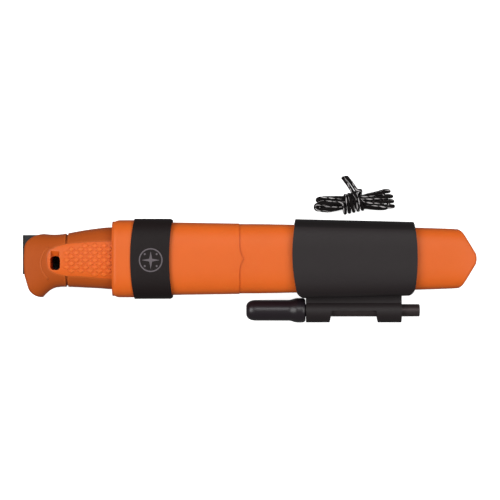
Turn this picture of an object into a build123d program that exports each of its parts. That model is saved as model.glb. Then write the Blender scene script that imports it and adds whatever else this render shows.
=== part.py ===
"""Sheath knife with a clip-on fire-steel cover and a hank of cord.

Frame: the sheath lies on its back. +X runs to the sheath's tip, +Y to the spine side of the knife,
+Z out of the front face. The origin is on the back face of the belt loop, at the middle of the belt
passage's length and on the sheath's long axis. Millimetres.
"""

from build123d import *
import os
from math import cos, sin, pi, copysign

os.makedirs("parts", exist_ok=True)

# ---- driving dimensions ----------------------------------------------------------------------------
# knife
handle_length = 118.0
handle_inside = 68.4          # how far the handle's front stands inside the sheath
butt_half_thick = 11.5
grip_half_thick = 11.0        # at the sheath's mouth
front_play = 1.7              # between the handle's front end and the chamber's faces
blade_length = 109.0
blade_height = 22.5
blade_thick = 2.5
bevel_height = 7.0
edge_flat = 0.2
tang_length = 60.0
tang_height = 11.0
panel_sink = 0.45             # the hard panel lies this far under the soft overmould
lanyard_slot = (5.5, 7.8)
lanyard_inset = 17.9          # from the butt to the slot's middle
lanyard_drop = 2.4            # the slot's middle lies this far to the belly side
ramp_length = 3.8             # the slot's spine end opens with a ramp this long
ramp_depth = 3.6
lanyard_corner = 2.0
groove_inset = 24.2           # from the butt to the thin moulded groove
groove_width = 1.3
groove_depth = 0.8
butt_rounding = 2.0

# belt loop
loop_reach = 51.9             # from the sheath's mouth back to the loop's end
loop_width = 22.2
loop_side = 2.3               # the loop's middle stands this far to the spine side
strap_thick = 2.0
belt_gap = 5.0
butt_clearance = 1.0          # between the loop and the butt of the handle
belt_passage_middle = 31.3    # from the loop's end to the origin
rivet_radius = 1.7
rivet_head_radius = 3.4
rivet_head_thick = 0.9
rivet_spacing = 11.0

# sheath
sheath_wall = 2.0
mouth_half_width = 20.8
mouth_half_thick = 13.6
step_half_width = 19.65
step_half_thick = 12.9
step_beyond_front = 5.0       # the brace-shaped step lies this far past the handle's front
step_depth = 0.9
step_side_depth = 0.25
scoop_length = 20.0
scoop_half_width = 19.15
scoop_half_thick = 10.9
blade_room_half_thick = 8.2
tip_wall = 5.0
shoulder_half_width = 16.7
shoulder_half_thick = 9.6
tip_beyond_blade = 25.7
shoulder_inset = 13.2         # from the tip back to where the tip starts
collar_half_width = 21.6
collar_half_thick = 14.9
collar_length = 12.8
collar_rim = 2.4
collar_corner = 4.2
drain_radius = 2.0

# carrier band
band_wall = 2.0
band_clearance = 0.1
band_length = 21.1
bow = 2.5                     # how far the band's back edge bows towards the handle
front_bow = 2.1               # and its front edge
band_corner = 1.6

# cover with fire-steel holder
cover_length = 65.3
cover_inset = 100.7           # from the sheath's tip back to the cover's corner
cover_wall = 2.3
cover_clearance = 0.9
cord_bay = 4.7
cover_bow = 2.1
holder_length = 53.6
holder_inset = 5.9            # from the cover's corner to the holder
lug_length = 14.3
holder_wall = 3.0
lug_drop = 0.35               # the lugs' round is this much lower than the steel's axis
holder_drop = 6.9             # from the cover's side wall to the fire steel's axis
pad_size = (63.0, 31.0)
plate_size = (58.0, 26.0)
plate_thick = 1.2
plate_proud = 0.4
plate_gap = 0.1

# fire steel
rod_radius = 3.5
rod_length = 82.3
rod_clearance = 0.08
steel_handle_length = 33.3
steel_handle_radius = 5.85
steel_bulge_radius = 6.9
steel_axis_z = 14.0
rod_in_handle = 18.0
handle_lug_gap = 0.4

# cord
cord_diameter = 2.0
hank_gap = 2.8                # between the cover and the hank

# ---- places that follow from them ------------------------------------------------------------------
mid_z = 2 * strap_thick + belt_gap + butt_clearance + butt_half_thick
mouth_x = loop_reach - belt_passage_middle
front_x = mouth_x + handle_inside
butt_x = front_x - handle_length
blade_tip_x = front_x + blade_length
tip_x = blade_tip_x + tip_beyond_blade
step_x = front_x + step_beyond_front
shoulder_x = tip_x - shoulder_inset
scoop_x = step_x + scoop_length
far = 80.0                    # past everything, for cutting outlines


def across(x, y=0.0, z=mid_z):
    """A plane square to the sheath's length, its own x along +Y and its own y along +Z."""
    return Plane(origin=(x, y, z), x_dir=(0, 1, 0), z_dir=(1, 0, 0))


def oval(x, half_y, half_z, y=0.0, z=mid_z, power=3.6, count=24):
    """A flat-sided oval across the sheath: |y / half_y| ^ power + |z / half_z| ^ power = 1."""
    points = []
    for k in range(count):
        c = cos(2 * pi * k / count)
        s = sin(2 * pi * k / count)
        across_y = half_y * copysign(abs(c) ** (2 / power), c)
        across_z = half_z * copysign(abs(s) ** (2 / power), s)
        points.append((across_y, across_z))
    with BuildSketch(across(x, y, z)) as section:
        with BuildLine():
            Spline(*points, periodic=True)
        make_face()
    return section.sketch


def at(stations, x):
    """The values that smooth curves through the stations have at x; a station is (x, value, ...)."""
    last = len(stations) - 1
    k = max(0, min(last - 1, sum(station[0] <= x for station in stations) - 1))
    x0, x1 = stations[k][0], stations[k + 1][0]
    t = (x - x0) / (x1 - x0)

    def slope(j, column):
        low, high = stations[max(j - 1, 0)], stations[min(j + 1, last)]
        return (high[column] - low[column]) / (high[0] - low[0])

    values = []
    for column in range(1, len(stations[0])):
        v0, v1 = stations[k][column], stations[k + 1][column]
        s0, s1 = slope(k, column) * (x1 - x0), slope(k + 1, column) * (x1 - x0)
        values.append((2 * t**3 - 3 * t**2 + 1) * v0 + (t**3 - 2 * t**2 + t) * s0
                      + (3 * t**2 - 2 * t**3) * v1 + (t**3 - t**2) * s1)
    return values


def even_steps(x0, x1, step):
    count = max(2, round((x1 - x0) / step))
    return [x0 + (x1 - x0) * k / count for k in range(count + 1)]


chamber_stations = [
    (mouth_x, mouth_half_width, mouth_half_thick),
    (step_x, step_half_width, step_half_thick),
]
blade_part_stations = [
    (step_x - 10, step_half_width - step_side_depth, step_half_thick - step_depth),
    (step_x, step_half_width - step_side_depth, step_half_thick - step_depth),
    (scoop_x, scoop_half_width, scoop_half_thick),
    (shoulder_x, shoulder_half_width, shoulder_half_thick),
    (tip_x + 2, shoulder_half_width - 1.6, shoulder_half_thick - 1.6),
]


def chamber(x):
    return at(chamber_stations, x)


def blade_part_at(x):
    return at(blade_part_stations, x)


# ---- sheath body: one hollow moulding --------------------------------------------------------------
brace_hook = 2.6              # the brace's point stands this far past its arms
brace_half_width = 6.5
tip_slant_run = 6.3           # the tip's straight slants run this far along X
tip_half_width = 3.0
tip_nose = 0.5
tip_rounding = 1.6
brace_x = step_x - brace_hook
collar_back_x = mouth_x + collar_length

with BuildPart() as handle_chamber:
    # ends past the step, where a brace-shaped cut leaves the step
    loft([oval(x, *chamber(x)) for x in (mouth_x, step_x + 6)])
    with BuildSketch(Plane.XY):
        with BuildLine():
            Spline((brace_x, -brace_half_width), (step_x, 0), tangents=[(0, 1), (2.2, 1)],
                   tangent_scalars=[0.7, 0.7])
            Spline((step_x, 0), (brace_x, brace_half_width), tangents=[(-2.2, 1), (0, 1)],
                   tangent_scalars=[0.7, 0.7])
            Polyline((brace_x, brace_half_width), (brace_x, far), (tip_x, far), (tip_x, -far),
                     (brace_x, -far), (brace_x, -brace_half_width))
        make_face()
    extrude(amount=far, mode=Mode.SUBTRACT)

with BuildPart() as blade_part:
    # thins through a shallow scoop past the step, then evenly to the tip
    loft([oval(x, *blade_part_at(x)) for x in even_steps(step_x - 10, tip_x + 2, 8)])
    with BuildSketch(Plane.XY):
        with BuildLine():
            slant_x = tip_x - tip_nose - tip_slant_run
            corner_half_width = shoulder_half_width - 3.3
            Polyline((tip_x - tip_nose, -tip_half_width), (slant_x, -corner_half_width))
            Spline((slant_x, -corner_half_width), (shoulder_x - 2, -shoulder_half_width - 1),
                   tangents=[(-tip_slant_run, tip_half_width - corner_half_width), (-1, 0)])
            Polyline((shoulder_x - 2, -shoulder_half_width - 1), (shoulder_x - 2, -far), (0, -far),
                     (0, far), (shoulder_x - 2, far), (shoulder_x - 2, shoulder_half_width + 1))
            Spline((shoulder_x - 2, shoulder_half_width + 1), (slant_x, corner_half_width),
                   tangents=[(1, 0), (tip_slant_run, tip_half_width - corner_half_width)])
            Line((slant_x, corner_half_width), (tip_x - tip_nose, tip_half_width))
            ThreePointArc((tip_x - tip_nose, tip_half_width), (tip_x, 0), (tip_x - tip_nose, -tip_half_width))
        make_face()
    extrude(amount=far, mode=Mode.INTERSECT)
    # the moulding's edge is rounded all round the tip
    past_shoulder = blade_part.edges().filter_by(lambda e: e.center().X > shoulder_x)
    tip_rim = past_shoulder.filter_by(lambda e: abs(e.center().Z - mid_z) > 2)
    fillet(tip_rim, tip_rounding)

bow_reach = collar_half_width + 3


def bowed_line(x, middle_x):
    """Three points of an arc across the sheath that bows to middle_x on its axis."""
    return (x, -bow_reach), (middle_x, 0), (x, bow_reach)


with BuildPart() as collar:
    # round the mouth, its back edge bowed towards the handle like the band that butts on it
    extrude(to_extrude=oval(mouth_x, collar_half_width, collar_half_thick), amount=collar_length,
            dir=(1, 0, 0))
    fillet(collar.edges().group_by(Axis.X)[0], collar_rim)
    # the mouth's corners are rounder than its rim
    with BuildSketch(Plane.XY):
        with Locations((mouth_x, 0)):
            RectangleRounded(far, 2 * collar_half_width, collar_corner, align=(Align.MIN, Align.CENTER))
    extrude(amount=far, mode=Mode.INTERSECT)
    with BuildSketch(Plane.XY):
        with BuildLine():
            ThreePointArc(*bowed_line(collar_back_x, collar_back_x - bow))
            Polyline((collar_back_x, bow_reach), (tip_x, bow_reach), (tip_x, -bow_reach),
                     (collar_back_x, -bow_reach))
        make_face()
    extrude(amount=far, mode=Mode.SUBTRACT)

with BuildPart() as sheath_body:
    add(handle_chamber.part)
    add(blade_part.part)
    add(collar.part)
    # room for the handle
    chamber_floor_x = front_x + 1.5
    room = [(x, chamber(x)[0] - sheath_wall, chamber(x)[1] - sheath_wall)
            for x in (mouth_x - 5, chamber_floor_x)]
    loft([oval(*station) for station in room], mode=Mode.SUBTRACT)
    # room for the blade, which narrows with the tip
    blade_room = [
        (chamber_floor_x - 1, step_half_width - 3.5, blade_room_half_thick),
        (shoulder_x - 16, shoulder_half_width - sheath_wall, shoulder_half_thick - sheath_wall),
        (shoulder_x - 4, shoulder_half_width - sheath_wall - 1.5, shoulder_half_thick - sheath_wall - 1),
        (tip_x - tip_wall, tip_half_width + 1.5, drain_radius + 1.5),
    ]
    loft([oval(*station) for station in blade_room], ruled=True, mode=Mode.SUBTRACT)
    # drain hole through the tip
    with BuildSketch(across(tip_x - tip_wall - 1)):
        Circle(drain_radius)
    extrude(amount=tip_wall + 2, mode=Mode.SUBTRACT)
sheath_body.part.label = "sheath_body"
export_step(sheath_body.part, "parts/sheath_body.step")

# ---- carrier band: a ring pressed over the sheath, with a seat for the belt loop --------------------
band_x0 = collar_back_x + band_clearance
band_x1 = band_x0 + band_length
seat_z = 2 * strap_thick
seat_width = loop_width + 1
seat_x0 = band_x0 + 2.5
seat_x1 = band_x1 - 3.0
loop_y0 = loop_side - loop_width / 2
loop_y1 = loop_side + loop_width / 2
rivet_x = (seat_x0 + seat_x1) / 2
rivet_depth = 2.0             # into the band's seat
rivet_play = 0.05
rivet_places = [(rivet_x, loop_side - rivet_spacing / 2), (rivet_x, loop_side + rivet_spacing / 2)]
rivet_head_z = rivet_head_thick + 0.1

with BuildPart() as carrier_band:
    outside = [band_x0 - bow - 1, band_x1 + 1]
    loft([oval(x, *(size + band_clearance + band_wall for size in chamber(x))) for x in outside])
    # seat for the belt loop on the back
    with BuildSketch(Plane.XY.offset(seat_z)):
        with Locations(((seat_x0 + seat_x1) / 2, loop_side)):
            RectangleRounded(seat_x1 - seat_x0, seat_width, 2)
    extrude(amount=mid_z - seat_z - mouth_half_thick / 2)
    loft([oval(x, *(size + band_clearance for size in chamber(x))) for x in (outside[0] - 1, outside[1] + 1)],
         mode=Mode.SUBTRACT)
    # both edges bow towards the handle
    with BuildSketch(Plane.XY):
        with BuildLine():
            ThreePointArc(*bowed_line(band_x0, band_x0 - bow))
            Line((band_x0, bow_reach), (band_x1, bow_reach))
            ThreePointArc(*bowed_line(band_x1, band_x1 - front_bow))
            Line((band_x1, -bow_reach), (band_x0, -bow_reach))
        make_face()
    extrude(amount=far, mode=Mode.INTERSECT)
    # the front edge's corners are round
    band_half_width = chamber(band_x1)[0] + band_clearance + band_wall
    with BuildSketch(Plane.XY):
        with Locations((band_x1 - front_bow / 6, 0)):
            RectangleRounded(far, 2 * band_half_width, band_corner, align=(Align.MAX, Align.CENTER))
    extrude(amount=far, mode=Mode.INTERSECT)
    with Locations(*[(x, y, seat_z) for x, y in rivet_places]):
        Cylinder(rivet_radius + rivet_play, rivet_depth + 0.3,
                 align=(Align.CENTER, Align.CENTER, Align.MIN), mode=Mode.SUBTRACT)
carrier_band.part.label = "carrier_band"
export_step(carrier_band.part, "parts/carrier_band.step")

# ---- belt loop: one strap folded flat, both ends stacked under the band's seat ----------------------
loop_x0 = mouth_x - loop_reach
slope_x0 = mouth_x - 16.0
slope_x1 = seat_x0 - 3.0
loop_top_z = 2 * strap_thick + belt_gap
fold_radius = 3.2

with BuildPart() as belt_loop:
    with BuildSketch(Plane.XZ.offset(-loop_y1)) as loop_side_view:
        with BuildLine() as loop_outline:
            Polyline((loop_x0, 0), (seat_x1, 0), (seat_x1, seat_z), (slope_x1, seat_z),
                     (slope_x0, loop_top_z), (loop_x0, loop_top_z), (loop_x0, 0))
        make_face()
        fold = loop_side_view.vertices().group_by(Axis.X)[0]
        fillet(fold, fold_radius)
        with BuildLine():
            Polyline((loop_x0 + strap_thick, strap_thick), (slope_x1 - 1, strap_thick),
                     (slope_x0, loop_top_z - strap_thick), (loop_x0 + strap_thick, loop_top_z - strap_thick),
                     (loop_x0 + strap_thick, strap_thick))
        make_face(mode=Mode.SUBTRACT)
    extrude(amount=loop_width)
    with Locations(*[(x, y, 0) for x, y in rivet_places]):
        Cylinder(rivet_radius + rivet_play, seat_z,
                 align=(Align.CENTER, Align.CENTER, Align.MIN), mode=Mode.SUBTRACT)
        Cylinder(rivet_head_radius + rivet_play, rivet_head_z,
                 align=(Align.CENTER, Align.CENTER, Align.MIN), mode=Mode.SUBTRACT)
belt_loop.part.label = "belt_loop"
export_step(belt_loop.part, "parts/belt_loop.step")

with BuildPart() as belt_loop_rivets:
    with Locations(*[(x, y, rivet_head_z) for x, y in rivet_places]):
        Cylinder(rivet_radius, seat_z + rivet_depth - rivet_head_z,
                 align=(Align.CENTER, Align.CENTER, Align.MIN))
        Cylinder(rivet_head_radius, rivet_head_thick, align=(Align.CENTER, Align.CENTER, Align.MAX))
belt_loop_rivets.part.label = "belt_loop_rivets"
export_step(belt_loop_rivets.part, "parts/belt_loop_rivets.step")

# ---- knife handle -----------------------------------------------------------------------------------
# stations along the grip: distance, spine side, belly side, half thickness
def room_width(x):
    """Half the width of the chamber's room for the handle. Inside it, the handle is measured from this."""
    return chamber(x)[0] - sheath_wall


waist_x = butt_x + 21.0
grip_run = mouth_x - waist_x
inside_run = front_x - mouth_x
front_half_thick = chamber(front_x)[1] - sheath_wall - front_play
handle_stations = [
    (butt_x - 1.5, 13.5, -20.5, butt_half_thick - 3.2),
    (butt_x + 3.0, 14.3, -22.2, butt_half_thick - 0.3),
    (butt_x + 10.0, 14.0, -22.2, butt_half_thick),
    (butt_x + 15.5, 13.5, -17.3, butt_half_thick - 0.7),
    (waist_x, 13.7, -15.8, butt_half_thick - 1.3),
    (waist_x + grip_run * 0.4, 15.7, -16.1, grip_half_thick - 0.6),
    (waist_x + grip_run * 0.75, 17.1, -16.6, grip_half_thick - 0.1),
    (mouth_x, room_width(mouth_x) - 1.2, -room_width(mouth_x) + 1.7, grip_half_thick),
    (mouth_x + inside_run * 0.45, room_width(mouth_x + inside_run * 0.45) - 1.5,
     -room_width(mouth_x + inside_run * 0.45) + 1.7, grip_half_thick),
    (mouth_x + inside_run * 0.8, room_width(mouth_x + inside_run * 0.8) - 2.5,
     -room_width(mouth_x + inside_run * 0.8) + 2.5, (grip_half_thick + front_half_thick) / 2),
    (front_x, room_width(front_x) - 3.1, -room_width(front_x) + 2.9, front_half_thick),
]


def handle_section(x, smaller=0.0, thinner=0.0):
    spine_y, belly_y, half_thick = at(handle_stations, x)
    middle_y = (spine_y + belly_y) / 2
    return oval(x, (spine_y - belly_y) / 2 - smaller, half_thick - smaller - thinner, y=middle_y, power=2.7)


handle_steps = even_steps(butt_x - 1.5, front_x, 5)


def along_butt(inset, y):
    return (butt_x + inset, y)


with BuildPart() as handle_outside:
    loft([handle_section(x) for x in handle_steps])
    # butt: round spine corner, leaning end and a hooked belly corner
    with BuildSketch(Plane.XY):
        with BuildLine():
            Spline(along_butt(19.0, 13.5), along_butt(11.0, 13.9), along_butt(5.3, 12.3),
                   along_butt(1.9, 9.4), along_butt(0.7, 4.9))
            ThreePointArc(along_butt(0.7, 4.9), along_butt(0.4, -2.5), along_butt(0.9, -9.5))
            Line(along_butt(0.9, -9.5), along_butt(2.7, -16.0))
            Spline(along_butt(2.7, -16.0), along_butt(4.3, -18.8), along_butt(7.0, -20.8),
                   along_butt(10.4, -21.6), tangents=[(0.3, -1), (1, -0.1)])
            Spline(along_butt(10.4, -21.6), along_butt(12.2, -19.4), along_butt(15.2, -17.1),
                   along_butt(19.0, -15.9))
            Polyline(along_butt(19.0, -15.9), along_butt(19.0, -far), (tip_x, -far), (tip_x, far),
                     along_butt(19.0, far), along_butt(19.0, 13.5))
        make_face()
    extrude(amount=far, mode=Mode.INTERSECT)
    butt_rim = handle_outside.edges().filter_by(lambda e: e.center().X < butt_x + 9)
    fillet(butt_rim.filter_by(lambda e: abs(e.center().Z - mid_z) > 3), butt_rounding)

with BuildPart() as panel_outline:
    # the hard core shows as a panel, round at the butt and open towards the blade
    core_front_x = front_x - 7.0
    with BuildSketch(Plane.XY):
        with BuildLine():
            Spline((core_front_x, 9.0), (mouth_x + 25, 9.8), (mouth_x, 9.9),
                   (waist_x + grip_run * 0.35, 9.1), along_butt(19.7, 7.2), along_butt(14.6, 4.6))
            ThreePointArc(along_butt(14.6, 4.6), along_butt(13.2, -0.9), along_butt(14.6, -6.3))
            Spline(along_butt(14.6, -6.3), along_butt(18.4, -8.3), (waist_x + grip_run * 0.35, -9.9),
                   (mouth_x, -11.5), (mouth_x + 25, -11.3), (core_front_x, -10.2))
            Polyline((core_front_x, -10.2), (core_front_x, -far), (tip_x, -far), (tip_x, far),
                     (core_front_x, far), (core_front_x, 9.0))
        make_face()
    extrude(amount=far)

with BuildPart() as handle_core:
    loft([handle_section(x, thinner=panel_sink) for x in handle_steps])
    add(panel_outline.part, mode=Mode.INTERSECT)
    add(handle_outside.part, mode=Mode.INTERSECT)
    # lanyard slot, with a ramp down to it from the spine side on both faces
    with BuildSketch(Plane.XY):
        with Locations(along_butt(lanyard_inset, -lanyard_drop)):
            RectangleRounded(*lanyard_slot, lanyard_corner)
    extrude(amount=far, mode=Mode.SUBTRACT)
    ramp_y0 = lanyard_slot[1] / 2 - lanyard_drop
    ramp_z = butt_half_thick - panel_sink
    with BuildSketch(across(butt_x + lanyard_inset, 0, mid_z)):
        for side in (1, -1):
            with BuildLine():
                Polyline((ramp_y0 - 1, side * (ramp_z - ramp_depth)), (ramp_y0, side * (ramp_z - ramp_depth)),
                         (ramp_y0 + ramp_length, side * (ramp_z - 0.6)),
                         (ramp_y0 + ramp_length, side * far / 2),
                         (ramp_y0 - 1, side * far / 2), (ramp_y0 - 1, side * (ramp_z - ramp_depth)))
            make_face()
    extrude(amount=lanyard_slot[0] / 2 - 0.3, both=True, mode=Mode.SUBTRACT)
    # slot for the tang
    tang_play = 0.05
    with Locations((front_x, 0, mid_z)):
        Box(tang_length + tang_play, tang_height + 2 * tang_play, blade_thick + 2 * tang_play,
            align=(Align.MAX, Align.CENTER, Align.CENTER), mode=Mode.SUBTRACT)
handle_core.part.label = "handle_core"
export_step(handle_core.part, "parts/handle_core.step")

with BuildPart() as grip_overmould:
    add(handle_outside.part)
    add(panel_outline.part, mode=Mode.SUBTRACT)
    # thin groove round the waist
    groove_x = butt_x + groove_inset
    with BuildPart(mode=Mode.PRIVATE) as groove:
        with Locations((groove_x, 0, mid_z)):
            Box(groove_width, far, far)
        loft([handle_section(groove_x + side * groove_width, smaller=groove_depth) for side in (-1, 1)],
             mode=Mode.SUBTRACT)
    add(groove.part, mode=Mode.SUBTRACT)
grip_overmould.part.label = "grip_overmould"
export_step(grip_overmould.part, "parts/grip_overmould.step")

# ---- blade: flat stock with a wide bevel, and its tang ----------------------------------------------
spine_y = 10.6
edge_y = spine_y - blade_height
point_y = spine_y - 6.0

with BuildPart() as blade:
    with BuildSketch(Plane.XY.offset(mid_z - blade_thick / 2)):
        with BuildLine():
            Line((front_x, spine_y), (blade_tip_x - 48, spine_y))
            Spline((blade_tip_x - 48, spine_y), (blade_tip_x, point_y), tangents=[(1, 0), (3, -1)])
            Spline((blade_tip_x, point_y), (blade_tip_x - 36, edge_y), tangents=[(-0.7, -1), (-1, 0)])
            Polyline((blade_tip_x - 36, edge_y), (front_x + 4, edge_y), (front_x, edge_y + 2.5),
                     (front_x, spine_y))
        make_face()
    extrude(amount=blade_thick)
    for face in (Plane.XY.offset(mid_z - blade_thick / 2), Plane.XY.offset(mid_z + blade_thick / 2)):
        cutting = blade.edges().filter_by(
            lambda e: abs(e.center().Z - face.origin.Z) < 0.01
            and e.center().Y < spine_y - 4 and e.center().X > front_x + 3)
        flat = blade.faces().filter_by(lambda f: abs(f.center().Z - face.origin.Z) < 0.01)[0]
        chamfer(cutting, bevel_height, (blade_thick - edge_flat) / 2, reference=flat)
    with Locations((front_x + 0.01, 0, mid_z)):
        Box(tang_length, tang_height, blade_thick, align=(Align.MAX, Align.CENTER, Align.CENTER))
blade.part.label = "blade"
export_step(blade.part, "parts/blade.step")

# ---- cover: a sleeve on the tip end, deeper at the back, with the fire-steel holder ------------------
cover_x0 = tip_x - cover_inset
cover_x1 = cover_x0 + cover_length
cover_floor_z = mid_z - scoop_half_thick - cord_bay    # inside of the back wall
cover_back_z = cover_floor_z - cover_wall
steel_y = -(blade_part_at(cover_x0)[0] + cover_clearance + cover_wall) - holder_drop
holder_radius = rod_radius + holder_wall
holder_x0 = cover_x0 + holder_inset
holder_x1 = holder_x0 + holder_length
web_half_thick = 4.6
lug_flare = 1.2
cover_corner = 6.5


def cover_section(x, larger):
    """The sleeve follows the sheath in width and at the front, and keeps a level back."""
    half_width, half_thick = blade_part_at(x)
    front_z = mid_z + half_thick + cover_clearance + larger
    back_z = cover_floor_z - larger
    return oval(x, half_width + cover_clearance + larger, (front_z - back_z) / 2,
                z=(front_z + back_z) / 2, power=4.5)


with BuildPart() as kit_cover:
    sleeve_x0 = cover_x0 - cover_bow - 2
    sleeve_x1 = cover_x1 + cover_bow + 2
    cover_side = -steel_y - holder_drop
    loft([cover_section(x, cover_wall) for x in (sleeve_x0, sleeve_x1)])
    # both ends bow outwards, and the holder side has round corners
    with BuildSketch(Plane.XY):
        with BuildLine():
            ThreePointArc((cover_x0 + 0.8, cover_side + 4), (cover_x0 - cover_bow, 0),
                          (cover_x0 + 0.3, -cover_side + 4))
            Spline((cover_x0 + 0.3, -cover_side + 4), (cover_x0 + cover_corner, -cover_side - 0.5),
                   tangents=[(0.3, -1), (1, -0.1)])
            Line((cover_x0 + cover_corner, -cover_side - 0.5),
                 (cover_x1 - cover_corner - 1, -cover_side - 0.5))
            Spline((cover_x1 - cover_corner - 1, -cover_side - 0.5), (cover_x1 + 0.9, -cover_side + 5.6),
                   tangents=[(1, 0.3), (0.2, 1)])
            ThreePointArc((cover_x1 + 0.9, -cover_side + 5.6), (cover_x1 + cover_bow, 0),
                          (cover_x1 - 0.7, cover_side + 4))
            Line((cover_x1 - 0.7, cover_side + 4), (cover_x0 + 0.8, cover_side + 4))
        make_face()
    extrude(amount=far, mode=Mode.INTERSECT)
    # fire-steel holder: a tube on a web along the cover's lower side
    with BuildSketch(across(holder_x0, steel_y, steel_axis_z)):
        with Locations((-lug_drop, 0)):
            Circle(holder_radius)
        Rectangle(holder_drop + 3, 2 * web_half_thick, align=(Align.MIN, Align.CENTER))
    extrude(amount=holder_length)
    # between the lugs the tube is open below the steel's axis, with flared ends
    window_x0 = holder_x0 + lug_length
    window_x1 = holder_x1 - lug_length
    with BuildSketch(Plane.XY):
        with BuildLine():
            Polyline((window_x0, steel_y), (window_x1, steel_y),
                     (window_x1 + lug_flare, steel_y - holder_radius - 1),
                     (window_x0 - lug_flare, steel_y - holder_radius - 1), (window_x0, steel_y))
        make_face()
    extrude(amount=far, mode=Mode.SUBTRACT)
    # pad for the sharpening plate on the back
    pad_x = (holder_x0 + holder_x1) / 2
    with BuildSketch(Plane.XY.offset(plate_proud)):
        with Locations((pad_x, 0)):
            RectangleRounded(*pad_size, 3)
    extrude(amount=cover_floor_z - plate_proud)
    with BuildSketch(Plane.XY):
        with Locations((pad_x, 0)):
            RectangleRounded(plate_size[0] + 2 * plate_gap, plate_size[1] + 2 * plate_gap, 2)
    extrude(amount=plate_thick, mode=Mode.SUBTRACT)
    # hollow for the sheath and the cord bay
    loft([cover_section(x, 0) for x in (sleeve_x0 - 1, sleeve_x1 + 1)], mode=Mode.SUBTRACT)
    # bore for the steel
    with BuildSketch(across(holder_x0 - 1, steel_y, steel_axis_z)):
        Circle(rod_radius + rod_clearance)
    extrude(amount=holder_length + 2, mode=Mode.SUBTRACT)
kit_cover.part.label = "kit_cover"
export_step(kit_cover.part, "parts/kit_cover.step")

with BuildPart() as sharpening_plate:
    with BuildSketch(Plane.XY):
        with Locations((pad_x, 0)):
            RectangleRounded(*plate_size, 2)
    extrude(amount=plate_thick)
sharpening_plate.part.label = "sharpening_plate"
export_step(sharpening_plate.part, "parts/sharpening_plate.step")

# ---- fire steel: a ferrocerium rod moulded into a handle --------------------------------------------
steel_handle_x1 = holder_x0 - handle_lug_gap
steel_handle_x0 = steel_handle_x1 - steel_handle_length
rod_x0 = steel_handle_x1 - rod_in_handle
rod_bevel = 0.4
bulge_x = steel_handle_x1 - 4.3
bulge_start_x = steel_handle_x1 - 9.6
along_steel = Plane(origin=(0, steel_y, steel_axis_z), x_dir=(1, 0, 0), z_dir=(0, -1, 0))

with BuildPart() as ferro_rod:
    with BuildSketch(across(rod_x0, steel_y, steel_axis_z)):
        Circle(rod_radius)
    extrude(amount=rod_length)
    chamfer(ferro_rod.edges().group_by(Axis.X)[-1], rod_bevel)
ferro_rod.part.label = "ferro_rod"
export_step(ferro_rod.part, "parts/ferro_rod.step")

with BuildPart() as striker_handle:
    with BuildSketch(along_steel):
        with BuildLine():
            nose_x = steel_handle_x0 + steel_handle_radius
            Line((steel_handle_x0, 0), (steel_handle_x0, 2.0))
            Spline((steel_handle_x0, 2.0), (steel_handle_x0 + 1.3, steel_handle_radius - 1.2),
                   (nose_x, steel_handle_radius), tangents=[(0, 1), (1, 0)])
            Line((nose_x, steel_handle_radius), (bulge_start_x, steel_handle_radius))
            Spline((bulge_start_x, steel_handle_radius), (bulge_x, steel_bulge_radius), tangents=[(1, 0), (1, 0)])
            Spline((bulge_x, steel_bulge_radius), (steel_handle_x1, steel_handle_radius),
                   tangents=[(1, 0), (0.4, -1)])
            Polyline((steel_handle_x1, steel_handle_radius), (steel_handle_x1, rod_radius),
                     (rod_x0, rod_radius), (rod_x0, 0), (steel_handle_x0, 0))
        make_face()
    revolve(axis=Axis((0, steel_y, steel_axis_z), (1, 0, 0)))
striker_handle.part.label = "striker_handle"
export_step(striker_handle.part, "parts/striker_handle.step")

# ---- cord: one length wound as a wrapped hank beside the cover, with its two ends free --------------
hank_x = holder_x0 + 26.8                 # middle of the wrap
hank_y = cover_side + hank_gap + 7.0      # middle of the wrap
hank_half_height = 5.0
wrap_half_length = 6.0


def lump(stations):
    """A loft through (x, y, z, half size across, half height) from the wrap's middle."""
    return [oval(hank_x + x, half_y, half_z, y=hank_y + y, z=z, power=2.4)
            for x, y, z, half_y, half_z in stations]


with BuildPart() as cord_hank:
    # loops to the left, the wrap round their middle, and fuller loops to the right
    loft(lump([(-wrap_half_length - 16.0, -1.2, 3.6, 3.9, 3.0), (-wrap_half_length - 8.0, -0.9, 4.0, 4.1, 3.4),
               (-wrap_half_length + 1.0, -0.6, 4.8, 4.8, 3.6)]))
    loft(lump([(-wrap_half_length, -0.5, hank_half_height, 6.6, hank_half_height),
               (wrap_half_length, 0.9, hank_half_height, 6.6, hank_half_height)]))
    loft(lump([(wrap_half_length - 1.0, 0.9, 4.8, 5.0, 3.8), (wrap_half_length + 8.0, 1.5, 4.2, 5.4, 3.6),
               (wrap_half_length + 17.4, 1.9, 3.8, 5.8, 3.2)]))
cord_hank.part.label = "cord_hank"
export_step(cord_hank.part, "parts/cord_hank.step")
print("cord hank", cord_hank.part.volume)


def cord_tube(route, radii):
    """Straight runs joined by tangent arcs, swept with the cord's own section."""
    with BuildPart() as tube:
        with BuildLine() as path:
            FilletPolyline(*[(hank_x + x, hank_y + y, z) for x, y, z in route], radius=radii)
        start = Plane(origin=path.line @ 0, z_dir=path.line % 0)
        with BuildSketch(start):
            Circle(cord_diameter / 2)
        sweep()
    print("tube", tube.part.volume, "section x length",
          pi * cord_diameter**2 / 4 * sum(run.length for run in path.edges()), "radii", radii)
    return tube.part


def corner_radii(route):
    """Each arc as large as its two runs allow: 0.45 of the shorter run over tan(half the turn)."""
    radii = []
    for a, b, c in zip(route, route[1:], route[2:]):
        run_in = Vector(*b) - Vector(*a)
        run_out = Vector(*c) - Vector(*b)
        half_turn = run_in.get_angle(run_out) * pi / 360
        radii.append(0.45 * min(run_in.length, run_out.length) * cos(half_turn) / sin(half_turn))
    return radii


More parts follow.
